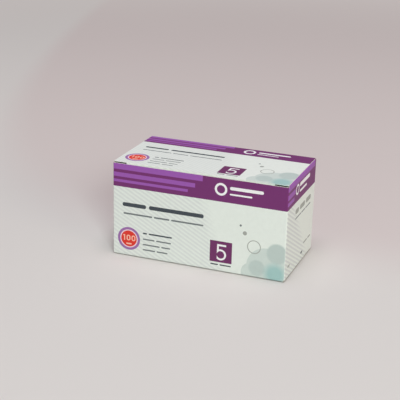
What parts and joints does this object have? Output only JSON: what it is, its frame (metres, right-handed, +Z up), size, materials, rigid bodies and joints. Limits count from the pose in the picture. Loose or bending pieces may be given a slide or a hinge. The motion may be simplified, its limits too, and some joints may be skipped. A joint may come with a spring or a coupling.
{
  "type": "pen needle carton",
  "caption": "Printed paperboard carton with a tuck-in lid hinged at its back edge, packed with layers of sealed pen needle units that each have a peel-off tab.",
  "frame": {"origin": "middle of the carton's base, on the surface that it stands on", "axes": "+X along the carton's length, -Y out of its front, +Z up"},
  "size_m": [0.128, 0.0674, 0.0692],
  "materials": {
    "carton_board": "satin coated, printed",
    "lid_board": "satin coated, printed",
    "needle_cover": "moulded polypropylene, satin",
    "peel_tab": "matt, printed"
  },
  "bodies": {
    "carton": {"carton": "carton_board", "layer_1_row_1_covers": "needle_cover", "layer_1_row_2_covers": "needle_cover", "layer_1_row_3_covers": "needle_cover", "layer_1_row_4_covers": "needle_cover", "layer_1_row_5_covers": "needle_cover", "layer_2_row_1_covers": "needle_cover", "layer_2_row_2_covers": "needle_cover", "layer_2_row_3_covers": "needle_cover", "layer_2_row_4_covers": "needle_cover", "layer_2_row_5_covers": "needle_cover", "layer_1_row_1_tabs": "peel_tab", "layer_1_row_2_tabs": "peel_tab", "layer_1_row_3_tabs": "peel_tab", "layer_1_row_4_tabs": "peel_tab", "layer_1_row_5_tabs": "peel_tab", "layer_2_row_1_tabs": "peel_tab", "layer_2_row_2_tabs": "peel_tab", "layer_2_row_3_tabs": "peel_tab", "layer_2_row_4_tabs": "peel_tab", "layer_2_row_5_tabs": "peel_tab"},
    "lid": {"lid": "lid_board"}
  },
  "joints": [
    {"name": "lid_hinge", "type": "hinge", "parent": "carton", "child": "lid", "pos_m": [0, 0.0337, 0.06875], "axis": [-1, 0, 0], "range_deg": [0, 180]}
  ]
}
